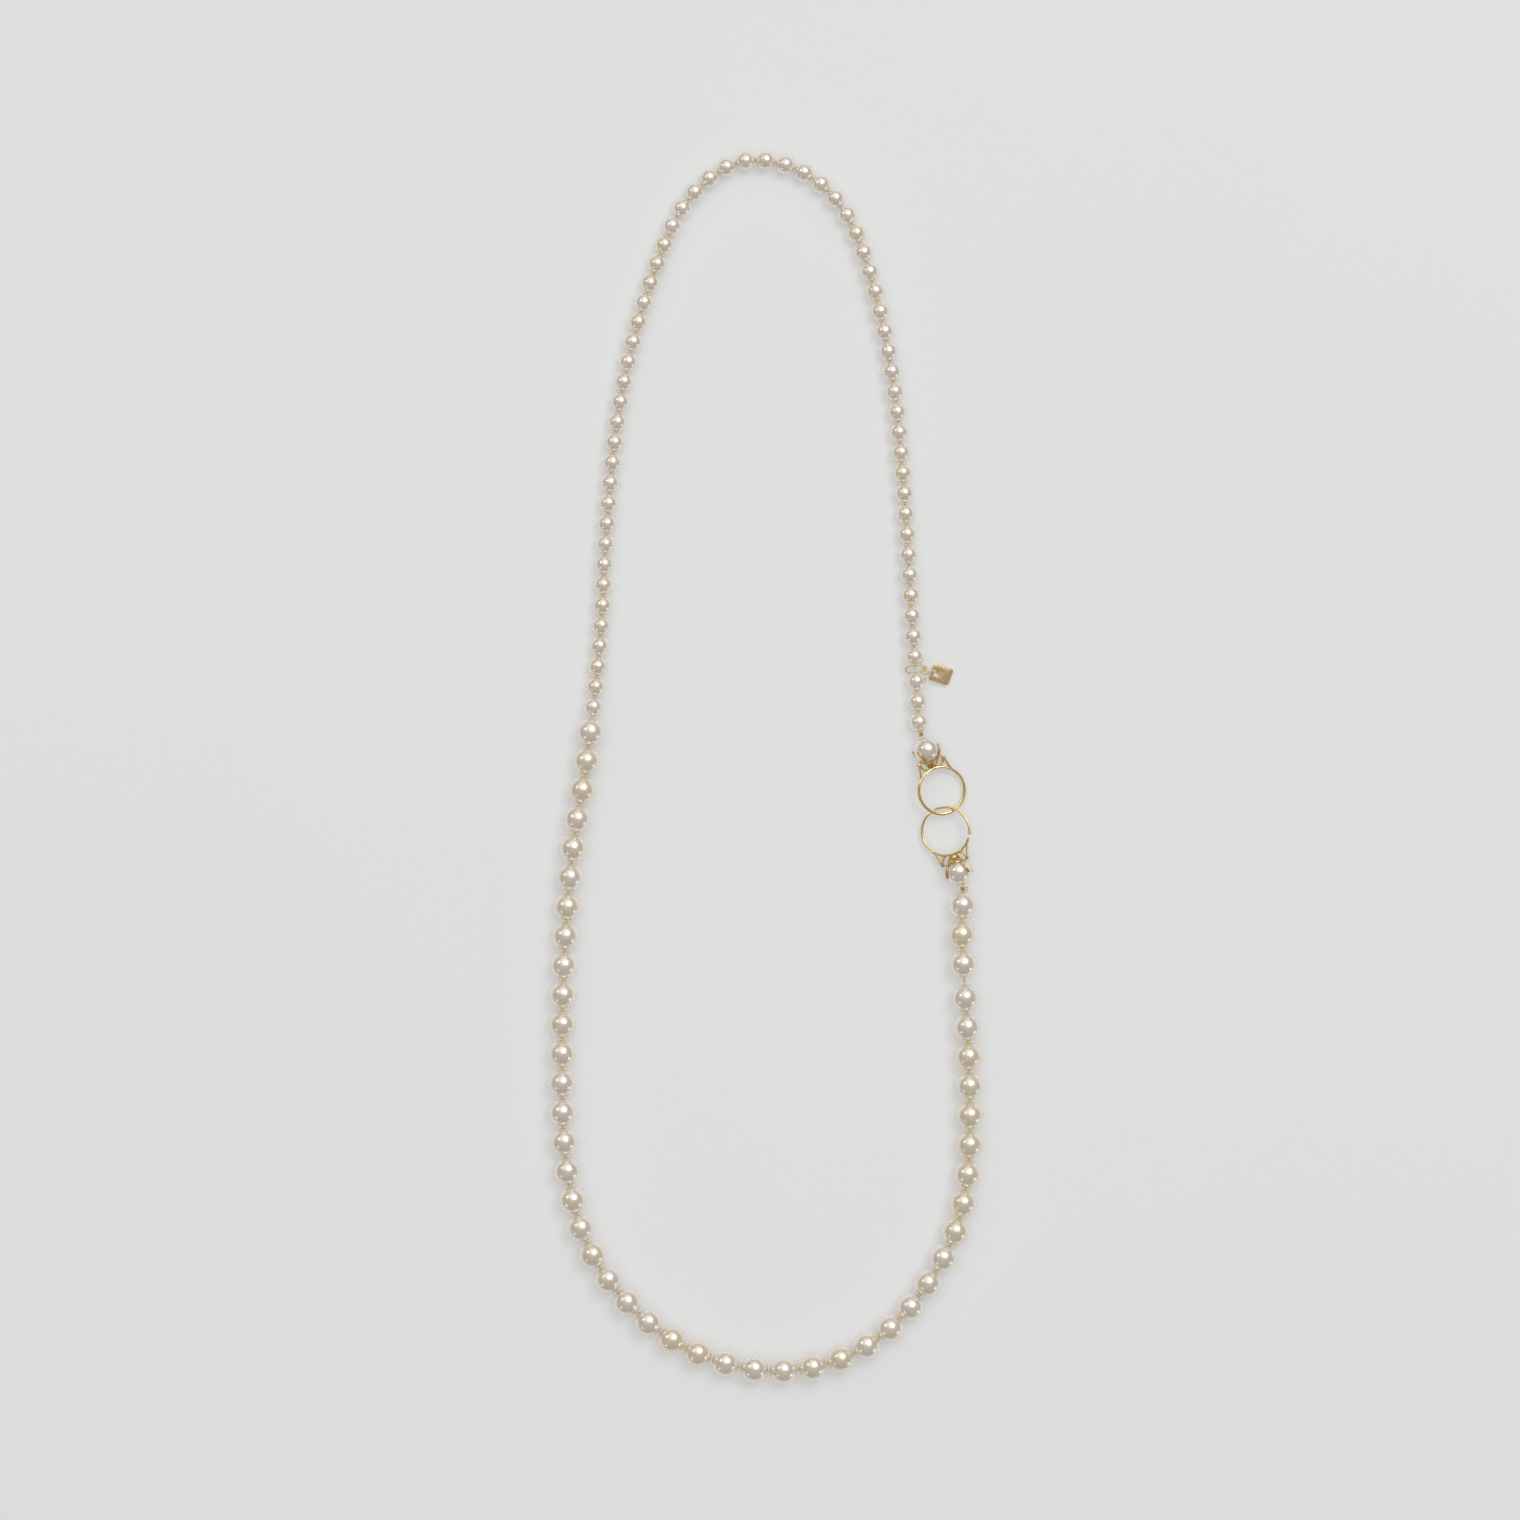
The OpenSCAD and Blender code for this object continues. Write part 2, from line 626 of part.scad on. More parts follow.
function names(stem, n) = [for (i = [1 : n]) str(stem, "_", two_digits(i))];

for (g = [0 : len(small_groups) - 1]) {
    small_pearls(g);
    small_silk(g);
}
for (g = [0 : len(large_groups) - 1]) {
    large_pearls(g);
    large_silk(g);
}
upper_ring_shank();
upper_ring_head();
upper_ring_peg();
upper_ring_pearl();
upper_ring_silk();
lower_ring_shank();
lower_ring_head();
lower_ring_peg();
lower_ring_pearl();
lower_ring_silk();
upper_crimp();
lower_crimp();
lower_crimp_ring();
link_ring();
charm_ring();
charm_link_1();
charm_link_2();
charm_tag();
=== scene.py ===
import math
import random

import bmesh
import bpy
import numpy as np
from mathutils import Matrix, Vector


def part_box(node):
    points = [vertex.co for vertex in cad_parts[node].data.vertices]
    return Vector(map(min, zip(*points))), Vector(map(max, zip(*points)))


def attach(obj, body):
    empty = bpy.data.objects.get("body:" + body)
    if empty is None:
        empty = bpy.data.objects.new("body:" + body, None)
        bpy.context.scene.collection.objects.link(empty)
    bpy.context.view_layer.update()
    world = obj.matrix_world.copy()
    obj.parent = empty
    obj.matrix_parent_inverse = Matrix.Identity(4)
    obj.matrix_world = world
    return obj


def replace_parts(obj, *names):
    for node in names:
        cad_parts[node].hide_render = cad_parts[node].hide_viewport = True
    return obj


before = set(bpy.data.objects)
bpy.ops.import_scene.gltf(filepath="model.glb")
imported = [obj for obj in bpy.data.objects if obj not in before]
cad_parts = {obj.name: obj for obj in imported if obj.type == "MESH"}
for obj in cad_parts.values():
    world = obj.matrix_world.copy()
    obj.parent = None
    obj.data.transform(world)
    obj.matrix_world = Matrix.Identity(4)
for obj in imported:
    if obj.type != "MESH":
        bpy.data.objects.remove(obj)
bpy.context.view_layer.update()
scene = bpy.context.scene
mm = 0.001
dice = random.Random(7)

# ---- room ----

view = {"lens": 100, "sensor": 36, "across": 542.6, "middle": (-2.1, 2.6, 5)}
ground = {"size": 8.0, "colour": (0.465, 0.47, 0.475), "grain": 0.008,
          "lit": (0.96, 0.975, 1.0), "litPower": 0.325}
lamps = {  # tilt from straight up and bearing, in degrees; distance and radius in metres
    "keyBox": {"tilt": 31, "turn": 46, "distance": 3.2, "radius": 0.52, "power": 9,
               "colour": (1.0, 1.0, 1.0)},
    "keyGlow": {"tilt": 30, "turn": 58, "distance": 3.3, "radius": 1.25, "power": 13,
                "colour": (1.0, 1.0, 1.0)},
    "keyWash": {"tilt": 38, "turn": 84, "distance": 3.4, "radius": 2.2, "power": 27,
                "colour": (1.0, 0.99, 0.97)},
    "sideBox": {"tilt": 50, "turn": 148, "distance": 3.2, "radius": 0.26, "power": 5,
                "colour": (1.0, 0.88, 0.72)},
    "lowBox": {"tilt": 76, "turn": -34, "distance": 3.4, "radius": 0.30, "power": 4,
               "colour": (1.0, 0.95, 0.9)},
    "backBox": {"tilt": 66, "turn": 222, "distance": 3.4, "radius": 0.20, "power": 2.5,
                "colour": (1.0, 0.92, 0.84)},
    "ceiling": {"tilt": 0, "turn": 0, "distance": 3.6, "radius": 2.8, "power": 69,
                "colour": (0.90, 0.965, 1.0), "reflected": False},
}
ambient = {"colour": (0.26, 0.22, 0.182), "strength": 1.0}


def makeCamera():
    camera = bpy.data.cameras.new("camera")
    camera.lens = view["lens"]
    camera.sensor_width = view["sensor"]
    camera.clip_end = 20
    holder = bpy.data.objects.new("camera", camera)
    away = view["across"] * view["lens"] / view["sensor"]
    holder.location = (Vector(view["middle"]) + Vector((0, 0, away))) * mm
    scene.collection.objects.link(holder)
    scene.camera = holder


def discLight(name, look):
    lamp = bpy.data.lights.new(name, "AREA")
    lamp.shape = "DISK"
    lamp.size = 2 * look["radius"]
    lamp.energy = look["power"]
    lamp.color = look["colour"]
    tilt, turn = math.radians(look["tilt"]), math.radians(look["turn"])
    toLight = Vector((math.sin(tilt) * math.cos(turn), math.sin(tilt) * math.sin(turn), math.cos(tilt)))
    holder = bpy.data.objects.new(name, lamp)
    holder.location = toLight * look["distance"]
    holder.rotation_mode = "QUATERNION"
    holder.rotation_quaternion = toLight.to_track_quat("Z", "Y")
    holder.visible_glossy = look.get("reflected", True)
    scene.collection.objects.link(holder)


def makeWorld():
    world = bpy.data.worlds.new("room")
    world.use_nodes = True
    background = world.node_tree.nodes["Background"]
    background.inputs["Color"].default_value = (*ambient["colour"], 1)
    background.inputs["Strength"].default_value = ambient["strength"]
    scene.world = world


# ---- node helpers ----

def addNode(tree, kind, **settings):
    node = tree.nodes.new(kind)
    for key, value in settings.items():
        if key in node.inputs:
            node.inputs[key].default_value = value
        else:
            setattr(node, key, value)
    return node


def mathNode(tree, operation, first, second, clamp=False):
    node = tree.nodes.new("ShaderNodeMath")
    node.operation = operation
    node.use_clamp = clamp
    for socket, value in zip(node.inputs, (first, second)):
        if isinstance(value, (int, float)):
            socket.default_value = value
        else:
            tree.links.new(value, socket)
    return node.outputs[0]


def mixColour(tree, factor, first, second, blend="MIX"):
    node = tree.nodes.new("ShaderNodeMix")
    node.data_type = "RGBA"
    node.blend_type = blend
    for socket, value in zip((node.inputs[0], node.inputs[6], node.inputs[7]), (factor, first, second)):
        if isinstance(value, (int, float)):
            socket.default_value = value
        elif isinstance(value, tuple):
            socket.default_value = (*value, 1)
        else:
            tree.links.new(value, socket)
    return node.outputs[2]


def newGroup(name, inputs, outputs):
    tree = bpy.data.node_groups.new(name, "ShaderNodeTree")
    for label, value in inputs.items():
        kind = "NodeSocketColor" if isinstance(value, tuple) else "NodeSocketFloat"
        socket = tree.interface.new_socket(label, in_out="INPUT", socket_type=kind)
        socket.default_value = (*value, 1) if isinstance(value, tuple) else value
    for label, kind in outputs.items():
        tree.interface.new_socket(label, in_out="OUTPUT", socket_type=kind)
    return tree, tree.nodes.new("NodeGroupInput"), tree.nodes.new("NodeGroupOutput")


def useGroup(tree, group, **values):
    node = tree.nodes.new("ShaderNodeGroup")
    node.node_tree = group
    for label, value in values.items():
        node.inputs[label].default_value = (*value, 1) if isinstance(value, tuple) else value
    return node


# soft clouds over a surface, in millimetres of the object's own space
def makeCloudGroup():
    tree, given, out = newGroup("softClouds", {"Per mm": 0.3, "Detail": 3.0, "Low": 0.35, "High": 0.65},
                                {"Mask": "NodeSocketFloat"})
    place = addNode(tree, "ShaderNodeTexCoord")
    noise = addNode(tree, "ShaderNodeTexNoise")
    spread = addNode(tree, "ShaderNodeMapRange", interpolation_type="SMOOTHSTEP")
    tree.links.new(place.outputs["Object"], noise.inputs["Vector"])
    tree.links.new(mathNode(tree, "MULTIPLY", given.outputs["Per mm"], 1000), noise.inputs["Scale"])
    tree.links.new(given.outputs["Detail"], noise.inputs["Detail"])
    tree.links.new(noise.outputs["Fac"], spread.inputs["Value"])
    tree.links.new(given.outputs["Low"], spread.inputs["From Min"])
    tree.links.new(given.outputs["High"], spread.inputs["From Max"])
    tree.links.new(spread.outputs["Result"], out.inputs["Mask"])
    return tree


# hair scratches left by polishing and handling, and a pointiness mask that is low in hollows and creases, where the
# gold finishes paint shade, and high on rubbed convex edges
def makeWearAndShadeGroup():
    tree, given, out = newGroup("wearAndHollowShade", {"Per mm": 2.0, "Scratch": 0.5},
                                {"Scratches": "NodeSocketFloat", "HollowShadeMask": "NodeSocketFloat"})
    place = addNode(tree, "ShaderNodeTexCoord")
    total = None
    for turn, stretch in ((0.4, 14), (1.7, 11), (2.6, 17)):
        lay = addNode(tree, "ShaderNodeMapping")
        lay.inputs["Rotation"].default_value = (turn * 0.7, turn, turn * 1.3)
        lay.inputs["Scale"].default_value = (1, stretch, stretch)
        noise = addNode(tree, "ShaderNodeTexNoise", Detail=2.0, Roughness=0.6)
        edge = addNode(tree, "ShaderNodeMapRange")
        edge.inputs["From Min"].default_value = 0.60
        edge.inputs["From Max"].default_value = 0.66
        tree.links.new(place.outputs["Object"], lay.inputs["Vector"])
        tree.links.new(lay.outputs["Vector"], noise.inputs["Vector"])
        tree.links.new(mathNode(tree, "MULTIPLY", given.outputs["Per mm"], 160), noise.inputs["Scale"])
        tree.links.new(noise.outputs["Fac"], edge.inputs["Value"])
        hairs = edge.outputs["Result"]
        total = hairs if total is None else mathNode(tree, "MAXIMUM", total, hairs)
    tree.links.new(mathNode(tree, "MULTIPLY", total, given.outputs["Scratch"]), out.inputs["Scratches"])
    # painted shade mask: low pointiness in hollows and creases sends the deep colour there as shade
    edges = addNode(tree, "ShaderNodeNewGeometry")
    hollowShade = addNode(tree, "ShaderNodeMapRange")
    hollowShade.inputs["From Min"].default_value = 0.40
    hollowShade.inputs["From Max"].default_value = 0.52
    tree.links.new(edges.outputs["Pointiness"], hollowShade.inputs["Value"])
    tree.links.new(hollowShade.outputs["Result"], out.inputs["HollowShadeMask"])
    return tree


softClouds = makeCloudGroup()
wearAndHollowShade = makeWearAndShadeGroup()


def newMaterial(name):
    material = bpy.data.materials.new(name)
    material.use_nodes = True
    tree = material.node_tree
    return material, tree, tree.nodes["Principled BSDF"]


def addBump(tree, shader, height, strength, distance):
    bump = addNode(tree, "ShaderNodeBump", Strength=strength, Distance=distance * mm)
    tree.links.new(height, bump.inputs["Height"])
    tree.links.new(bump.outputs["Normal"], shader.inputs["Normal"])


# ---- finishes ----

# warm is the colour of each pearl's random tone and of the painted warm bounce light near its drill holes
nacre = {"cream": (0.94, 0.905, 0.84), "warm": (0.94, 0.86, 0.68), "pink": (0.93, 0.88, 0.835),
         "mirror": 0.62, "glow": 0.2, "roughness": 0.26, "coat": 0.10}
greyNacre = {"cream": (0.93, 0.91, 0.87), "warm": (0.88, 0.84, 0.77), "pink": (0.91, 0.88, 0.85),
             "mirror": 0.62, "glow": 0.2, "roughness": 0.22, "coat": 0.15}
# deep is painted as shade into the hollows and creases of each gold, and it also fills random dull cloudy patches
brightGold = {"metal": (1.0, 0.83, 0.48), "deep": (0.93, 0.64, 0.27), "solid": 0.92, "roughness": 0.15}
charmGold = {"metal": (1.0, 0.85, 0.56), "deep": (0.90, 0.68, 0.38), "solid": 0.92, "roughness": 0.18}
# a very dark brown deep colour, painted as shade into hollows and creases, and also spread over random cloudy
# patches
darkShadedGold = {"metal": (0.95, 0.72, 0.38), "deep": (0.36, 0.21, 0.08), "solid": 0.95, "roughness": 0.20}
silkThread = {"light": (0.96, 0.90, 0.70), "shade": (0.80, 0.70, 0.46), "roughness": 0.55}


def pearlMaterial(name, look):
    material, tree, shader = newMaterial(name)
    toneAndBounce = addNode(tree, "ShaderNodeAttribute", attribute_name="toneAndBounce")
    clouds = useGroup(tree, softClouds, **{"Per mm": 0.22, "Detail": 2.0, "Low": 0.3, "High": 0.7})
    skin = useGroup(tree, softClouds, **{"Per mm": 0.9, "Detail": 2.0, "Low": 0.2, "High": 0.8})
    body = mixColour(tree, clouds.outputs["Mask"], look["cream"], look["pink"])
    # toneAndBounce mixes in the warm colour: a random tone per pearl plus painted warm bounce light near the drill
    # holes
    body = mixColour(tree, toneAndBounce.outputs["Fac"], body, look["warm"])
    tree.links.new(body, shader.inputs["Base Color"])
    rough = mathNode(tree, "MULTIPLY", skin.outputs["Mask"], 0.04)
    tree.links.new(mathNode(tree, "ADD", rough, look["roughness"]), shader.inputs["Roughness"])
    addBump(tree, shader, skin.outputs["Mask"], 0.05, 0.01)
    shader.inputs["Metallic"].default_value = look["mirror"]
    shader.inputs["IOR"].default_value = 1.6
    shader.inputs["Subsurface Weight"].default_value = look["glow"]
    shader.inputs["Subsurface Radius"].default_value = (1.0, 0.7, 0.45)
    shader.inputs["Subsurface Scale"].default_value = 0.9 * mm
    shader.inputs["Coat Weight"].default_value = look["coat"]
    shader.inputs["Coat Roughness"].default_value = 0.04
    shader.inputs["Coat IOR"].default_value = 1.55
    return material


def goldMaterial(name, look, film=0.18):
    material, tree, shader = newMaterial(name)
    scratchesAndShade = useGroup(tree, wearAndHollowShade, **{"Per mm": 2.0, "Scratch": 0.6})
    dull = useGroup(tree, softClouds, **{"Per mm": 0.8, "Detail": 4.0, "Low": 0.3, "High": 0.75})
    # painted shade: the deep colour goes into hollows and creases, while rubbed convex edges keep the bright metal
    # colour
    colour = mixColour(tree, scratchesAndShade.outputs["HollowShadeMask"], look["deep"], look["metal"])
    colour = mixColour(tree, mathNode(tree, "MULTIPLY", dull.outputs["Mask"], film), colour, look["deep"])
    tree.links.new(colour, shader.inputs["Base Color"])
    shader.inputs["Metallic"].default_value = look["solid"]
    hairs = mathNode(tree, "MULTIPLY", scratchesAndShade.outputs["Scratches"], 0.22)
    breath = mathNode(tree, "MULTIPLY", dull.outputs["Mask"], 0.08)
    rough = mathNode(tree, "ADD", mathNode(tree, "ADD", hairs, breath), look["roughness"])
    tree.links.new(rough, shader.inputs["Roughness"])
    addBump(tree, shader, scratchesAndShade.outputs["Scratches"], 0.15, 0.01)
    return material


def silkMaterial(name, look):
    material, tree, shader = newMaterial(name)
    fibres = useGroup(tree, softClouds, **{"Per mm": 6.0, "Detail": 3.0, "Low": 0.3, "High": 0.7})
    fibre = mixColour(tree, fibres.outputs["Mask"], look["shade"], look["light"])
    tree.links.new(fibre, shader.inputs["Base Color"])
    shader.inputs["Roughness"].default_value = look["roughness"]
    shader.inputs["Sheen Weight"].default_value = 0.5
    addBump(tree, shader, fibres.outputs["Mask"], 0.4, 0.04)
    return material


def groundMaterial():
    material, tree, shader = newMaterial("groundPaper")
    grain = useGroup(tree, softClouds, **{"Per mm": 0.004, "Detail": 2.0, "Low": 0.2, "High": 0.8})
    dark = tuple(c - ground["grain"] for c in ground["colour"])
    paper = mixColour(tree, grain.outputs["Mask"], dark, ground["colour"])
    tree.links.new(paper, shader.inputs["Base Color"])
    shader.inputs["Roughness"].default_value = 0.75
    shader.inputs["Specular IOR Level"].default_value = 0.2
    shader.inputs["Emission Color"].default_value = (*ground["lit"], 1)
    shader.inputs["Emission Strength"].default_value = ground["litPower"]
    return material


pearlSkin = pearlMaterial("creamNacre", nacre)
setPearlSkin = pearlMaterial("greyNacre", greyNacre)
ringGold = goldMaterial("polishedGold", brightGold)
linkGold = goldMaterial("charmGold", charmGold)
basketGold = goldMaterial("darkShadedGold", darkShadedGold, 0.5)
silk = silkMaterial("beadingSilk", silkThread)
print("finishes ready")


# ---- mesh helpers ----

def keepPiece(name, bm, material, body, sharp=40):
    mesh = bpy.data.meshes.new(name)
    bm.to_mesh(mesh)
    bm.free()
    mesh.materials.append(material)
    mesh.shade_smooth()
    mesh.set_sharp_from_angle(angle=math.radians(sharp))
    piece = bpy.data.objects.new(name, mesh)
    scene.collection.objects.link(piece)
    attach(piece, body)
    return piece


def addTube(bm, points, radii, sides=8, cyclic=False):
    curve = bpy.data.curves.new("line", "CURVE")
    curve.dimensions = "3D"
    curve.bevel_depth = 1
    curve.bevel_resolution = (sides - 4) // 2
    curve.use_fill_caps = not cyclic
    spline = curve.splines.new("POLY")
    spline.points.add(len(points) - 1)
    for spot, point, radius in zip(spline.points, points, radii):
        spot.co = (*point, 1)
        spot.radius = radius
    spline.use_cyclic_u = cyclic
    holder = bpy.data.objects.new("line", curve)
    mesh = bpy.data.meshes.new_from_object(holder)
    old = set(bm.verts)
    bm.from_mesh(mesh)
    bpy.data.objects.remove(holder)
    bpy.data.curves.remove(curve)
    bpy.data.meshes.remove(mesh)
    added = [v for v in bm.verts if v not in old]
    bmesh.ops.remove_doubles(bm, verts=added, dist=1e-5)
    return [v for v in bm.verts if v not in old]


def spinProfile(bm, profile, steps, angle=math.tau, axis=(0, 0, 1), closed=True):
    verts = [bm.verts.new(point) for point in profile]
    pairs = list(zip(verts, verts[1:]))
    if closed:
        pairs.append((verts[-1], verts[0]))
    edges = [bm.edges.new(pair) for pair in pairs]
    whole = abs(angle - math.tau) < 1e-6
    bmesh.ops.spin(bm, geom=verts + edges, cent=(0, 0, 0), axis=axis, angle=angle,
                   steps=steps, use_merge=whole)
    bmesh.ops.remove_doubles(bm, verts=bm.verts, dist=1e-5)
    bmesh.ops.recalc_face_normals(bm, faces=bm.faces)


def turnTo(direction):
    return Vector(direction).to_track_quat("Z", "Y").to_matrix().to_4x4()


# ---- where the pearls lie ----

def looseParts(node):
    bm = bmesh.new()
    bm.from_mesh(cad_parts[node].data)
    bmesh.ops.remove_doubles(bm, verts=bm.verts, dist=1e-6)
    left = set(bm.verts)
    parts = []
    while left:
        reached = [left.pop()]
        for vert in reached:
            for edge in vert.link_edges:
                other = edge.other_vert(vert)
                if other in left:
                    left.discard(other)
                    reached.append(other)
        parts.append(np.array([v.co for v in reached]))
    bm.free()
    return parts


# middle and bore direction of one drilled pearl
def pearlPlace(points):
    middle = (points.min(0) + points.max(0)) / 2
    away = points - middle
    far = np.linalg.norm(away, axis=1)
    inner = away[far < far.max() * 0.97]
    axis = np.linalg.svd(inner - inner.mean(0), full_matrices=False)[2][0]
    return Vector(middle), Vector(axis).normalized()


def pearlRow(node, start):
    left = [pearlPlace(part) for part in looseParts(node)]
    row = []
    here = start
    while left:
        nearest = min(left, key=lambda pearl: (pearl[0] - here).length)
        left.remove(nearest)
        middle, axis = nearest
        row.append((middle, axis if axis.dot(middle - here) > 0 else -axis))
        here = middle
    return row


# ---- strand ----

# contactBounce: the band of each pearl's height, towards a drill hole, over which painted warm bounce light rises
# from none to full
pearls = {"small": {"diameter": 7, "gap": 0.3, "groups": 11}, "large": {"diameter": 10, "gap": 0.5, "groups": 9},
          "bore": 0.4, "seat": 0.61, "seatLip": 0.83, "seatSlope": 0.55, "blindDepth": 0.4, "around": 40, "arc": 20,
          "outOfRound": 0.012, "toneSpread": 0.6, "contactBounce": (0.84, 0.98)}
thread = {"radius": 0.3, "knot": 0.55, "clearance": 0.05, "sides": 10, "loop": 0.38, "loopWire": 0.14}
knotShape = {"turns": 30, "middle": 0.235, "swing": 0.125, "rise": 0.20, "strand": 0.17}
hookIn = 0.18  # from the link ring's outside to the middle of its wire


# outline of a drilled pearl from bore to skin, as (distance from the bore's middle, height)
def pearlOutline(radius, half, ends):
    bore, seat = pearls["bore"], pearls["seat"]
    rimHeight = (radius ** 2 - seat ** 2 + half ** 2) / (2 * half)
    seatDepth = half - math.sqrt(seat ** 2 - bore ** 2)
    rim = math.acos(rimHeight / radius)
    top = [(bore, seatDepth), (seat * pearls["seatLip"], half - seat * pearls["seatSlope"])]
    arc = [rim + (math.pi - 2 * rim) * i / pearls["arc"] for i in range(pearls["arc"] + 1)]
    skin = [(radius * math.sin(a), radius * math.cos(a)) for a in arc]
    bottom = [(r, -h) for r, h in reversed(top)]
    if ends == 2:
        return top + skin + bottom
    arc = [rim + (math.pi - rim) * i / pearls["arc"] for i in range(pearls["arc"] + 1)]
    skin = [(radius * math.sin(a), radius * math.cos(a)) for a in arc]
    blind = radius * pearls["blindDepth"]
    return [(0, blind), (bore, blind)] + top + skin


def makePearl(radius, half, ends=2):
    bm = bmesh.new()
    outline = [(max(r, 0), 0, h) for r, h in pearlOutline(radius, half, ends)]
    spinProfile(bm, outline, pearls["around"], closed=ends == 2)
    mesh = bpy.data.meshes.new("pearl")
    bm.to_mesh(mesh)
    bm.free()
    return mesh


def placePearls(name, node, body, pearl, row, material):
    bm = bmesh.new()
    bounceFrom, bounceTo = pearls["contactBounce"]
    toneAndBounce = bm.verts.layers.float.new("toneAndBounce")
    for middle, axis in row:
        old = set(bm.verts)
        bm.from_mesh(pearl)
        added = [v for v in bm.verts if v not in old]
        shade = dice.random() ** 2 * pearls["toneSpread"]
        top = max(v.co.z for v in added)
        for vert in added:  # painted warm bounce light near the drill holes, where neighbouring pearls face each other, on top of a random tone per pearl
            near = (abs(vert.co.z) / top - bounceFrom) / (bounceTo - bounceFrom)
            vert[toneAndBounce] = shade + (1 - shade) * min(1, max(0, near))
        roll = Matrix.Rotation(dice.uniform(0, math.tau), 4, "Z")
        slack = pearls["outOfRound"]
        squeeze = Matrix.Diagonal((1 - dice.random() * slack, 1 - dice.random() * slack, 1, 1))
        place = Matrix.Translation(middle) @ turnTo(axis) @ roll @ squeeze @ Matrix.Scale(mm, 4)
        bmesh.ops.transform(bm, matrix=place, verts=added)
    piece = keepPiece(name, bm, material, body)
    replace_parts(piece, node)


def makeKnot():
    bm = bmesh.new()
    turns = knotShape["turns"]
    points = []
    for i in range(turns):
        t = math.tau * i / turns
        wide = knotShape["middle"] + knotShape["swing"] * math.cos(3 * t)
        points.append((wide * math.cos(2 * t), wide * math.sin(2 * t), knotShape["rise"] * math.sin(3 * t)))
    addTube(bm, points, [knotShape["strand"]] * turns, 6, cyclic=True)
    mesh = bpy.data.meshes.new("knot")
    bm.to_mesh(mesh)
    bm.free()
    return mesh


def placeSilk(name, node, body, line, tied, knot, loops=()):
    bm = bmesh.new()
    addTube(bm, [p / mm for p in line], [thread["radius"]] * len(line), thread["sides"])
    for at, along in tied:
        old = set(bm.verts)
        bm.from_mesh(knot)
        added = [v for v in bm.verts if v not in old]
        roll = Matrix.Rotation(dice.uniform(0, math.tau), 4, "Z")
        place = Matrix.Translation(at / mm) @ turnTo(along) @ roll
        bmesh.ops.transform(bm, matrix=place, verts=added)
    for at in loops:
        loopLine = [at / mm + thread["loop"] * Vector((math.cos(a), math.sin(a), 0))
                    for a in (math.tau * i / 20 for i in range(20))]
        addTube(bm, loopLine, [thread["loopWire"]] * 20, 6, cyclic=True)
    bmesh.ops.scale(bm, vec=(mm,) * 3, verts=bm.verts)
    piece = keepPiece(name, bm, silk, body)
    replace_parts(piece, node)


def middleOf(node):
    low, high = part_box(node)
    return (low + high) / 2


def trimmed(first, second, amount):
    return first + (second - first).normalized() * amount * mm


# where the silk's loop meets the link ring
def linkHook(linkMiddle, along):
    low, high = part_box("link_ring")
    return linkMiddle + along * ((high - low).x / 2 - hookIn * mm)


def makeStrands():
    knot = makeKnot()
    ends = {}
    lead = thread["knot"] + thread["clearance"]
    linkMiddle = middleOf("link_ring")
    for size, ring in (("small", "upper"), ("large", "lower")):
        look = pearls[size]
        half = (look["diameter"] + look["gap"]) / 2
        pearl = makePearl(look["diameter"] / 2, half)
        setMiddle = middleOf(f"{ring}_ring_pearl")
        first = pearlRow(f"{size}_pearls_01", setMiddle)
        anchor = looseParts(f"{ring}_ring_silk")[0]
        outer = anchor[np.linalg.norm(anchor - np.array(setMiddle), axis=1).argmax()]
        pivot = Vector(outer) - (Vector(outer) - setMiddle).normalized() * thread["knot"] * mm
        ends[ring] = pivot
        here = pivot
        for g in range(1, look["groups"] + 1):
            node = f"{size}_pearls_{g:02d}"
            row = first if g == 1 else pearlRow(node, here)
            body = f"{size}_strand_{g:02d}"
            placePearls(f"{size}Pearls{g:02d}", node, body, pearl, row, pearlSkin)
            near = row[0][0] - row[0][1] * half * mm
            apart = (near - here).length > mm
            line = [trimmed(here, near if apart else row[0][0], lead)]
            tied, loops = [], ()
            if g > 1 and apart:
                line.append(near)
                tied.append((near, row[0][1]))
            if size == "large" and g == 2:
                along = (near - linkMiddle).normalized()
                hook = linkHook(linkMiddle, along)
                line[0] = hook + along * thread["loop"] * mm
                loops = (hook,)
            for middle, axis in row:
                far = middle + axis * half * mm
                line.append(far)
                tied.append((far, axis))
            if size == "large" and g == 1:
                along = (linkMiddle - far).normalized()
                hook = linkHook(linkMiddle, -along)
                line.append(hook - along * thread["loop"] * mm)
                loops = (hook,)
                here = linkMiddle
            else:
                here = far
            if size == "large" and g == look["groups"]:
                tied.pop()
                line[-1] = trimmed(far, row[-1][0], lead)
            placeSilk(f"{size}Silk{g:02d}", f"{size}_silk_{g:02d}", body, line, tied, knot, loops)
        print(size, "strand strung")
    return ends


# ---- clasp rings: local Z is the finger's axis, local +Y points to the set pearl ----

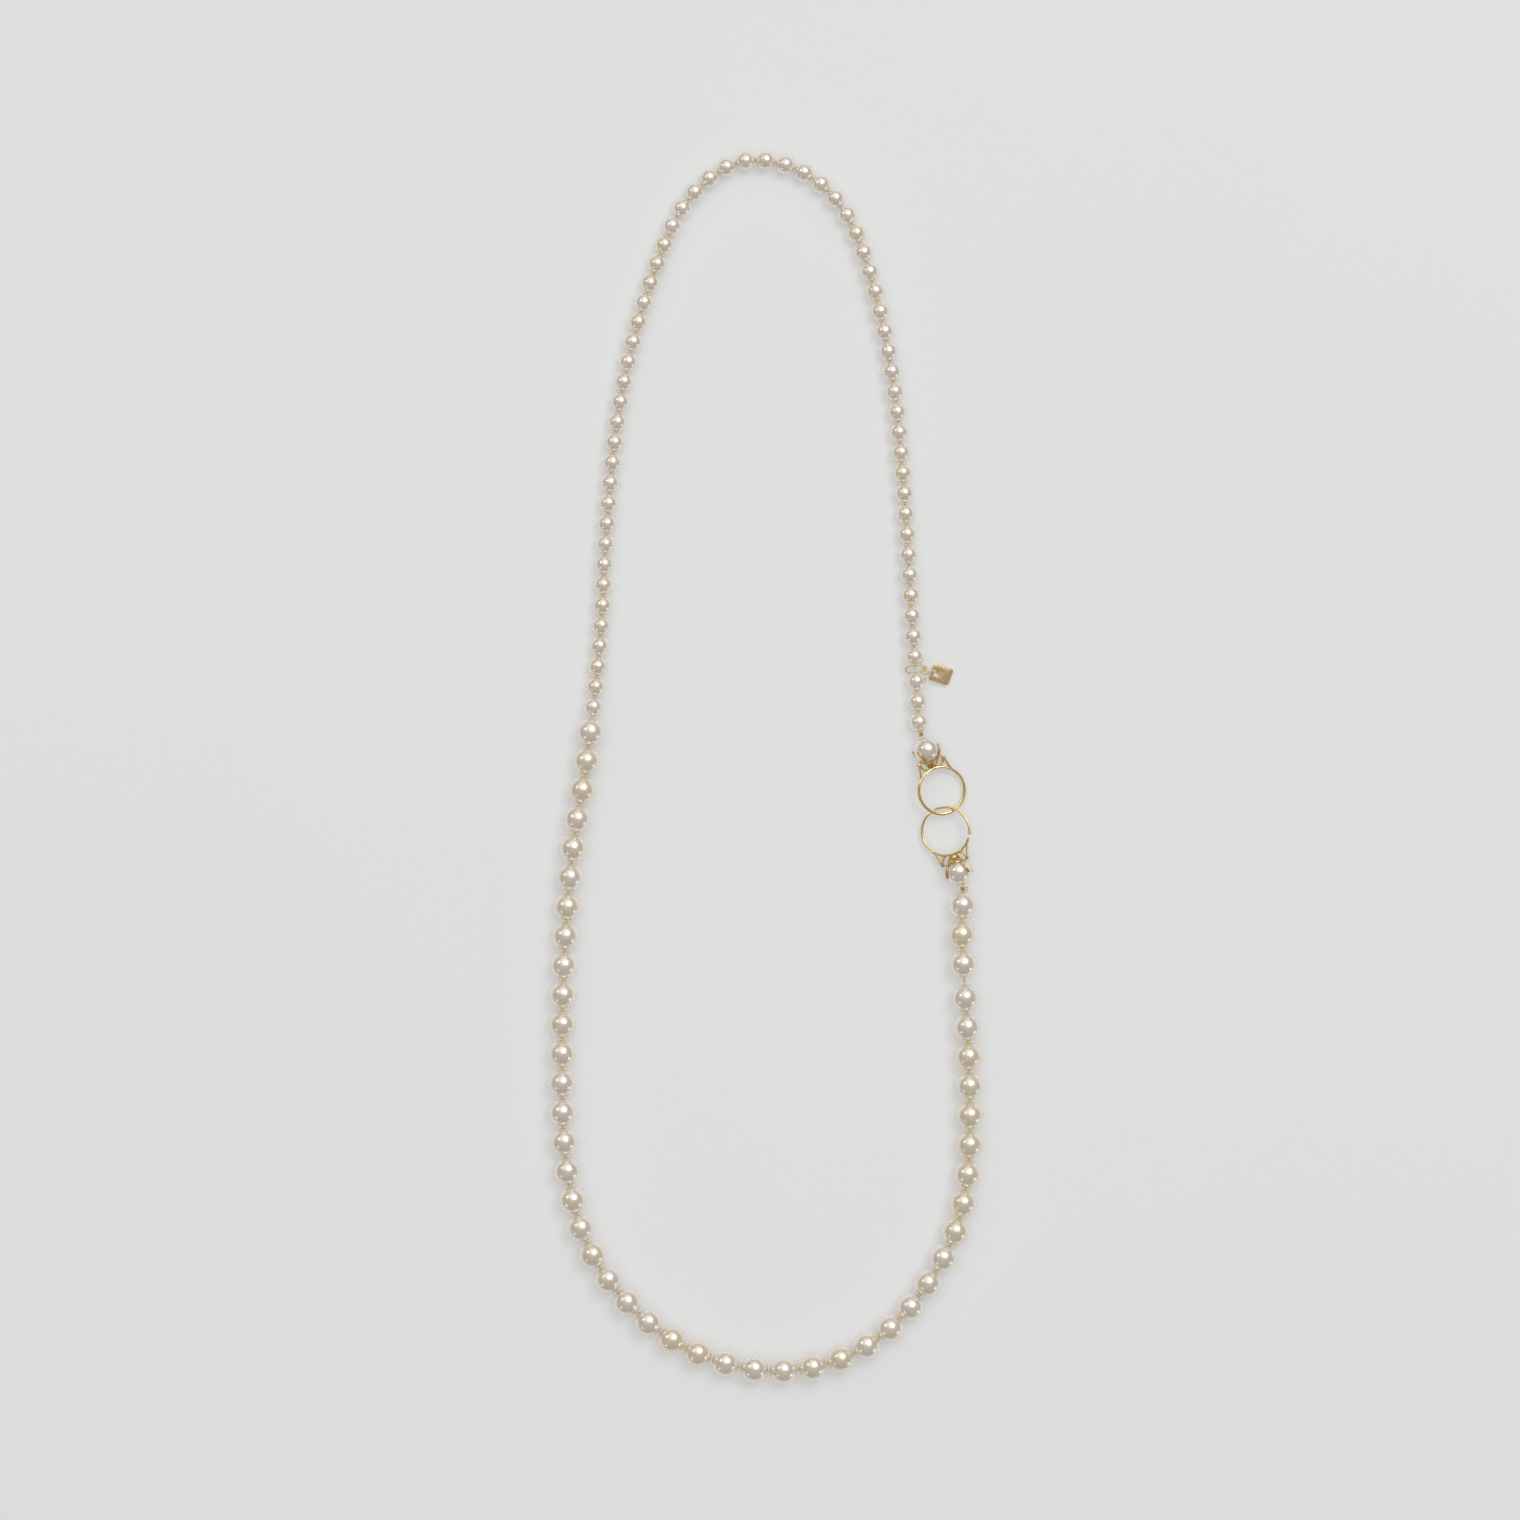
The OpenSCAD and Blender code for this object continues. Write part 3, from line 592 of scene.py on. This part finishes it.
claspRings = {  # angles in degrees; cut is the bearing of the opening in the shank
    "upper": {"hole": 15.4, "wire": 1.36, "head": 110.6, "lean": 13, "bandWidth": 2.0, "cut": None},
    "lower": {"hole": 16.0, "wire": 1.10, "head": -72.5, "lean": -13, "bandWidth": 1.8, "cut": 152.5},
}
band = {"sides": 16, "steps": 120, "outCurve": 0.8, "upCurve": 0.75, "flatInside": 0.8, "halfCut": 3.7,
        "edge": 0.14, "narrowing": 0.38, "narrowCurve": 1.5, "knuckle": 0.78, "knuckleOut": 0.12,
        "knuckleTurn": 3}
setting = {"pearl": 4.75, "seatRise": 1.5, "fit": 0.03, "prong": 0.31, "pair": 0.26, "spread": 34, "bend": 14,
           "bottom": 67, "top": 10, "claw": 0.34, "clawIn": 0.06, "cupFoot": 1.7, "cupRim": 2.95, "cupLip": 0.6,
           "pegHole": 0.46, "wall": 0.28, "galleryDown": 40, "galleryWire": 0.28, "galleryDrop": 0.22,
           "galleryWave": 0.16, "scallops": 8}
shoulder = {"angle": 52, "out": 5.1, "belowPearl": 3.6, "root": 2.5, "sink": 0.1, "corner": 0.22, "bar": 0.62,
            "width": 1.9, "edge": 0.13, "bead": 0.27, "beadApart": 0.42, "flare": (1.1, 0.28)}


def bodyOf(name):
    return name.replace("Ring", "_ring")


def ringSizes(ring):
    wire = ring["wire"]
    middleLine = (ring["hole"] + wire) / 2
    reach = middleLine + wire / 2 + setting["seatRise"] + setting["pearl"]
    return middleLine, reach


def ringPlace(name, ring):
    turn = (Matrix.Rotation(math.radians(ring["lean"]), 4, "Y")
            @ Matrix.Rotation(math.radians(ring["head"] - 90), 4, "Z"))
    reach = ringSizes(ring)[1]
    centre = middleOf(f"{name}_ring_pearl") - turn @ Vector((0, reach, 0)) * mm
    return Matrix.Translation(centre) @ turn @ Matrix.Scale(mm, 4)


# a band with a rounded outside and a flatter inside, narrower away from the head
def makeShank(name, ring, place):
    middleLine = ringSizes(ring)[0]
    thick, wide = ring["wire"] / 2, ring["bandWidth"] / 2
    bm = bmesh.new()
    start = 0 if ring["cut"] is None else ring["cut"] + band["halfCut"]
    sweep = 360 if ring["cut"] is None else 360 - 2 * band["halfCut"]
    sides = band["sides"]
    section = []
    for i in range(sides):
        a = math.tau * i / sides
        out = math.copysign(abs(math.cos(a)) ** band["outCurve"], math.cos(a)) * thick
        up = math.copysign(abs(math.sin(a)) ** band["upCurve"], math.sin(a)) * wide
        section.append((middleLine + (out if out > 0 else out * band["flatInside"]), 0, up))
    turned = Matrix.Rotation(math.radians(start), 3, "Z")
    verts = [bm.verts.new(turned @ Vector(point)) for point in section]
    edges = [bm.edges.new((verts[i], verts[(i + 1) % sides])) for i in range(sides)]
    bmesh.ops.spin(bm, geom=verts + edges, cent=(0, 0, 0), axis=(0, 0, 1), angle=math.radians(sweep),
                   steps=band["steps"], use_merge=ring["cut"] is None)
    bmesh.ops.remove_doubles(bm, verts=bm.verts, dist=1e-5)
    if ring["cut"] is not None:
        bmesh.ops.holes_fill(bm, edges=[e for e in bm.edges if e.is_boundary], sides=0)
        ends = [e for e in bm.edges if len(e.link_faces) == 2 and max(len(f.verts) for f in e.link_faces) > 4]
        bmesh.ops.bevel(bm, geom=ends, offset=band["edge"], affect="EDGES", segments=2, profile=0.5,
                        material=-1)
    for vert in bm.verts:
        away = 1 - (Vector((vert.co.x, vert.co.y, 0)).normalized().y + 1) / 2
        vert.co.z *= 1 - band["narrowing"] * away ** band["narrowCurve"]
    bmesh.ops.recalc_face_normals(bm, faces=bm.faces)
    if ring["cut"] is not None:
        knuckle = (Matrix.Rotation(math.radians(start + band["knuckleTurn"]), 4, "Z")
                   @ Matrix.Translation((middleLine + band["knuckleOut"], 0, 0)))
        bmesh.ops.create_uvsphere(bm, u_segments=20, v_segments=12, radius=band["knuckle"], matrix=knuckle)
    bm.transform(place)
    return keepPiece(name + "Shank", bm, ringGold, bodyOf(name))


def roundCorners(bm, corners, size, steps):
    face = bm.faces.new([bm.verts.new((*point, 0)) for point in corners])
    bmesh.ops.bevel(bm, geom=face.verts[:], offset=size, affect="VERTICES", segments=steps, profile=0.5,
                    material=-1)
    return bm.faces[:][0] if len(bm.faces) == 1 else max(bm.faces, key=lambda f: f.calc_area())


# a pierced, flared triangle on each side of the setting, with two tiny beads at its tip
def makeShoulders(name, ring, place):
    middleLine, reach = ringSizes(ring)
    angle = math.radians(shoulder["angle"])
    foot = middleLine * Vector((math.sin(angle), math.cos(angle)))
    foot += foot.normalized() * shoulder["sink"]
    tip = Vector((shoulder["out"], reach - shoulder["belowPearl"]))
    root = Vector((shoulder["root"], middleLine + shoulder["sink"]))
    flare, taper = shoulder["flare"]
    whole = bmesh.new()
    for side in (1, -1):
        bm = bmesh.new()
        corners = [foot, tip.lerp(foot, 0.45) + Vector((-0.22, -0.05)), tip, tip + Vector((-0.75, 0.1)),
                   root.lerp(tip, 0.4) + Vector((0.15, -0.25)), root]
        face = roundCorners(bm, [(c.x, c.y) for c in corners], shoulder["corner"], 3)
        bmesh.ops.inset_region(bm, faces=[face], thickness=shoulder["bar"], use_boundary=True,
                               use_even_offset=True)
        bmesh.ops.delete(bm, geom=[face], context="FACES_ONLY")
        rise = bmesh.ops.extrude_face_region(bm, geom=bm.faces[:])
        lifted = [v for v in rise["geom"] if isinstance(v, bmesh.types.BMVert)]
        bmesh.ops.translate(bm, vec=(0, 0, shoulder["width"]), verts=lifted)
        bmesh.ops.translate(bm, vec=(0, 0, -shoulder["width"] / 2), verts=bm.verts)
        bmesh.ops.recalc_face_normals(bm, faces=bm.faces)
        sharp = [e for e in bm.edges if len(e.link_faces) == 2 and e.calc_face_angle() > 0.9]
        bmesh.ops.bevel(bm, geom=sharp, offset=shoulder["edge"], affect="EDGES", segments=2, profile=0.5,
                        material=-1)
        for vert in bm.verts:
            near = min(1, (vert.co.xy - tip).length / (foot - tip).length)
            vert.co.z *= flare - taper * near
        for level in (-shoulder["beadApart"], shoulder["beadApart"]):
            bead = Matrix.Translation((tip.x - 0.22, tip.y + 0.12, level))
            bmesh.ops.create_uvsphere(bm, u_segments=12, v_segments=8, radius=shoulder["bead"], matrix=bead)
        if side < 0:
            bmesh.ops.scale(bm, vec=(-1, 1, 1), verts=bm.verts)
            bmesh.ops.reverse_faces(bm, faces=bm.faces)
        half = bpy.data.meshes.new("half")
        bm.to_mesh(half)
        bm.free()
        whole.from_mesh(half)
        bpy.data.meshes.remove(half)
    whole.transform(place)
    keepPiece(name + "Shoulders", whole, ringGold, bodyOf(name))


# one prong, a pair of wires side by side from under the pearl up to their claws
def addProng(bm, reach, arc, spread):
    steps = 16
    inward = 1 if math.sin(math.radians(2 * spread)) > 0 else -1
    for shift in (-setting["pair"], setting["pair"]):
        line, radii = [], []
        for i in range(steps + 1):
            done = i / steps
            up = math.radians(-setting["bottom"] + (setting["bottom"] + setting["top"]) * done)
            bend = setting["bend"] * math.sin(math.pi * 0.75 * (1 - done))
            turn = math.radians(spread + inward * bend)
            flat = Vector((math.cos(turn), 0, -math.sin(turn)))
            across = Vector((math.sin(turn), 0, math.cos(turn)))
            spot = math.cos(up) * flat + math.sin(up) * Vector((0, 1, 0))
            line.append(Vector((0, reach, 0)) + arc * spot + across * shift)
            radii.append(setting["prong"] * (1.05 - 0.12 * math.sin(math.pi * done)))
        addTube(bm, line, radii, 10)
        claw = Matrix.Translation(line[-1] - flat * setting["clawIn"])
        bmesh.ops.create_uvsphere(bm, u_segments=12, v_segments=8, radius=setting["claw"], matrix=claw)


# a cup, four paired prongs and a scalloped gallery wire under the set pearl
def makeHead(name, ring, place):
    middleLine, reach = ringSizes(ring)
    radius = setting["pearl"]
    foot, lip, hole = setting["cupFoot"], setting["cupRim"], setting["pegHole"]
    bm = bmesh.new()
    base = middleLine + ring["wire"] / 4
    rim = reach - radius + setting["cupLip"]
    dish = []
    for i in range(9):
        across = hole + (lip - setting["wall"] - hole) * i / 8
        dish.append((across, 0, reach - math.sqrt((radius + setting["fit"]) ** 2 - across ** 2)))
    wall = [(lip, 0, rim), (lip * 0.93, 0, rim - 0.35), (lip * 0.86, 0, rim - 0.45),
            (foot * 1.12, 0, base + 0.75), (foot * 1.12, 0, base + 0.5), (foot * 0.9, 0, base + 0.4),
            (foot, 0, base), (hole, 0, base)]
    spinProfile(bm, dish + wall, 48)
    bm.transform(Matrix.Rotation(math.radians(-90), 4, "X"))
    arc = radius + setting["fit"] + setting["prong"]
    for spread in (setting["spread"], -setting["spread"], 180 - setting["spread"], 180 + setting["spread"]):
        addProng(bm, reach, arc, spread)
    down = math.radians(setting["galleryDown"])
    count = 96
    across = (arc + 0.02) * math.cos(down)
    middle = reach - (arc + 0.02) * math.sin(down) - setting["galleryDrop"]
    line = []
    for i in range(count):
        a = math.tau * i / count
        level = middle + setting["galleryWave"] * math.cos(setting["scallops"] * a)
        line.append((across * math.cos(a), level, across * math.sin(a)))
    addTube(bm, line, [setting["galleryWire"]] * count, 8, cyclic=True)
    bm.transform(place)
    return keepPiece(name + "Head", bm, basketGold, bodyOf(name))


def makeClasp(pivots):
    for side, ring in claspRings.items():
        name, node = side + "Ring", side + "_ring"
        place = ringPlace(side, ring)
        shank = makeShank(name, ring, place)
        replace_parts(shank, f"{side}_ring_shank")
        makeShoulders(name, ring, place)
        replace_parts(makeHead(name, ring, place), f"{side}_ring_head")
        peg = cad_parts[f"{side}_ring_peg"].data
        peg.materials.clear()
        peg.materials.append(basketGold)
        middle = middleOf(f"{side}_ring_pearl")
        wayOut = pivots[side] - middle
        pearl = makePearl(setting["pearl"], wayOut.length / mm, ends=1)
        placePearls(name + "Pearl", node + "_pearl", node, pearl, [(middle, wayOut.normalized())], setPearlSkin)
        line = [middle + wayOut * 0.35, pivots[side]]
        placeSilk(name + "Silk", node + "_silk", node, line, [(pivots[side], wayOut.normalized())], makeKnot())
        print(side, "clasp ring made")


# ---- crimps, link and charm ----

crimp = {"side": 1.84, "length": 1.5, "corner": 0.12, "pinch": 0.86, "mouth": 0.42, "mouthDepth": 0.35, "turn": 0.5}
fineRings = {"wire": 0.18, "crimpRing": 1.9, "link": 1.6, "seam": 5}
charm = {"ring": 8.0, "wire": 0.4, "ply": 0.205, "plyOut": 0.19, "twists": 30, "link": 3.2, "linkWire": 0.22,
         "seam": 4}
tag = {"length": 7.6, "width": 6.6, "thick": 1.0, "corner": 1.06, "hole": 0.6, "holeIn": 1.35, "edge": 0.14,
       "border": 0.14, "press": 0.2, "eye": 0.8}


# a squeezed square bead, its mouths dished and its middle pinched
def makeCrimp(name, node, body, along):
    bm = bmesh.new()
    bmesh.ops.create_cube(bm, size=1)
    bmesh.ops.scale(bm, vec=(crimp["side"], crimp["side"], crimp["length"]), verts=bm.verts)
    ends = [f for f in bm.faces if abs(f.normal.z) > 0.9]
    for face in ends:
        bmesh.ops.inset_region(bm, faces=[face], thickness=crimp["mouth"])
        bmesh.ops.translate(bm, vec=-face.normal * crimp["mouthDepth"], verts=face.verts)
    longEdges = [e for e in bm.edges if abs((e.verts[0].co - e.verts[1].co).z) > crimp["length"] * 0.9]
    bmesh.ops.subdivide_edges(bm, edges=longEdges, cuts=3, use_grid_fill=True)
    for vert in bm.verts:
        if abs(vert.co.z) < 0.1:
            vert.co.x *= crimp["pinch"]
    sharp = [e for e in bm.edges if e.calc_face_angle(0) > 0.6]
    bmesh.ops.bevel(bm, geom=sharp, offset=crimp["corner"], affect="EDGES", segments=3, profile=0.5,
                    material=-1)
    bmesh.ops.recalc_face_normals(bm, faces=bm.faces)
    bm.transform(Matrix.Translation(middleOf(node)) @ turnTo(along) @ Matrix.Rotation(crimp["turn"], 4, "Z")
                 @ Matrix.Scale(mm, 4))
    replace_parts(keepPiece(name, bm, ringGold, body, 30), node)


# middle and hole direction of a small ring
def ringFrame(node):
    points = looseParts(node)[0]
    middle = (points.min(0) + points.max(0)) / 2
    normal = Vector(np.linalg.svd(points - points.mean(0), full_matrices=False)[2][2])
    if normal.z < 0:
        normal.negate()
    return Matrix.Translation(middle) @ turnTo(normal) @ Matrix.Scale(mm, 4)


# a wire ring bent round until its ends meet in a fine seam
def makeSeamRing(name, node, body, size, wire, seam, turn, material):
    bm = bmesh.new()
    middleLine = size / 2 - wire
    sides = 12
    verts = []
    for i in range(sides):
        a = math.tau * i / sides
        verts.append(bm.verts.new((middleLine + wire * math.cos(a), 0, wire * math.sin(a))))
    edges = [bm.edges.new((verts[i], verts[(i + 1) % sides])) for i in range(sides)]
    bmesh.ops.spin(bm, geom=verts + edges, cent=(0, 0, 0), axis=(0, 0, 1), angle=math.radians(360 - seam),
                   steps=44, use_merge=False)
    bmesh.ops.holes_fill(bm, edges=[e for e in bm.edges if e.is_boundary], sides=0)
    caps = {e for f in bm.faces if len(f.verts) > 4 for e in f.edges}
    bmesh.ops.bevel(bm, geom=list(caps), offset=wire * 0.18, affect="EDGES", segments=2, profile=0.5,
                    material=-1)
    bmesh.ops.recalc_face_normals(bm, faces=bm.faces)
    bm.transform(ringFrame(node) @ Matrix.Rotation(turn, 4, "Z"))
    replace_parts(keepPiece(name, bm, material, body), node)


# the charm's ring, two plies of wire twisted together
def makeRopeRing():
    bm = bmesh.new()
    middleLine = charm["ring"] / 2 - charm["wire"]
    plyOut = charm["plyOut"]
    count = charm["twists"] * 10
    for ply in (0, math.pi):
        line = []
        for i in range(count):
            a = math.tau * i / count
            twist = charm["twists"] * a + ply
            across = middleLine + plyOut * math.cos(twist)
            line.append((across * math.cos(a), across * math.sin(a), plyOut * math.sin(twist)))
        addTube(bm, line, [charm["ply"]] * count, 8, cyclic=True)
    bm.transform(ringFrame("charm_ring"))
    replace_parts(keepPiece("charmRing", bm, linkGold, "charm_ring_body"), "charm_ring")


# a plain drilled tag with a wire border on both faces
def makeTag():
    bm = bmesh.new()
    long, wide = tag["length"], tag["width"] / 2
    corners = [(0, -wide), (long, -wide), (long, wide), (0, wide)]
    face = roundCorners(bm, corners, tag["corner"], 6)
    outer = list(face.edges)
    outline = [v.co.copy() for v in face.verts]
    bmesh.ops.delete(bm, geom=[face], context="FACES_ONLY")
    hole = bmesh.ops.create_circle(bm, segments=len(outer), radius=tag["hole"],
                                   matrix=Matrix.Translation((tag["holeIn"], 0, 0)))
    inner = list({e for v in hole["verts"] for e in v.link_edges})
    bmesh.ops.bridge_loops(bm, edges=outer + inner)
    rise = bmesh.ops.extrude_face_region(bm, geom=bm.faces[:])
    lifted = [v for v in rise["geom"] if isinstance(v, bmesh.types.BMVert)]
    plate = tag["thick"] - tag["press"]
    bmesh.ops.translate(bm, vec=(0, 0, plate), verts=lifted)
    bmesh.ops.translate(bm, vec=(-long / 2, 0, -plate / 2), verts=bm.verts)
    bmesh.ops.recalc_face_normals(bm, faces=bm.faces)
    rims = [e for e in bm.edges if e.calc_face_angle(0) > 1.2]
    bmesh.ops.bevel(bm, geom=rims, offset=tag["edge"], affect="EDGES", segments=3, profile=0.5, material=-1)
    wire = tag["border"]
    shrink = Vector((1 - 2 * wire / long, 1 - wire / wide, 0))
    for level in (wire - tag["thick"] / 2, tag["thick"] / 2 - wire):
        edge = [Vector(((p.x - long / 2) * shrink.x, p.y * shrink.y, level)) for p in outline]
        addTube(bm, edge, [wire] * len(edge), 8, cyclic=True)
        eye = [Vector((tag["holeIn"] - long / 2 + tag["eye"] * math.cos(a), tag["eye"] * math.sin(a), level))
               for a in (math.tau * i / 24 for i in range(24))]
        addTube(bm, eye, [wire * 0.9] * 24, 8, cyclic=True)
    points = looseParts("charm_tag")[0]
    axes = np.linalg.svd(points - points.mean(0), full_matrices=False)[2]
    up = Vector(axes[2]) * (1 if axes[2][2] > 0 else -1)
    away = Vector(axes[0])
    if away.dot(middleOf("charm_tag") - middleOf("charm_link_2")) < 0:
        away.negate()
    side = up.cross(away)
    turn = Matrix((away, side, up)).transposed()
    local = points @ np.array(turn)
    middle = turn @ Vector((local.min(0) + local.max(0)) / 2)
    bm.transform(Matrix.Translation(middle) @ turn.to_4x4() @ Matrix.Scale(mm, 4))
    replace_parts(keepPiece("charmTag", bm, linkGold, "charm_tag_body", 30), "charm_tag")


def makeSmallParts(pivots):
    makeCrimp("upperCrimp", "upper_crimp", "small_strand_01", middleOf("upper_crimp") - pivots["upper"])
    makeCrimp("lowerCrimp", "lower_crimp", "large_strand_01", middleOf("lower_crimp") - pivots["lower"])
    wire = fineRings["wire"]
    makeSeamRing("lowerCrimpRing", "lower_crimp_ring", "large_strand_01", fineRings["crimpRing"], wire,
                 fineRings["seam"], 2.0, basketGold)
    makeSeamRing("linkRing", "link_ring", "link", fineRings["link"], wire, fineRings["seam"], 1.2, basketGold)
    makeRopeRing()
    for number in (1, 2):
        makeSeamRing(f"charmLink{number}", f"charm_link_{number}", f"charm_link_{number}_body", charm["link"],
                     charm["linkWire"], charm["seam"], 1.0 + number, linkGold)
    makeTag()
    print("crimps, link and charm made")


makeCamera()
makeWorld()
for lampName, lampLook in lamps.items():
    discLight(lampName, lampLook)

floorMesh = bmesh.new()
bmesh.ops.create_grid(floorMesh, x_segments=1, y_segments=1, size=ground["size"] / 2)
floorData = bpy.data.meshes.new("floor")
floorMesh.to_mesh(floorData)
floorMesh.free()
floorData.materials.append(groundMaterial())
floor = bpy.data.objects.new("floor", floorData)
floor.location.z = -0.0001
scene.collection.objects.link(floor)

pivots = makeStrands()
makeClasp(pivots)
makeSmallParts(pivots)

scene.view_settings.view_transform = "Standard"
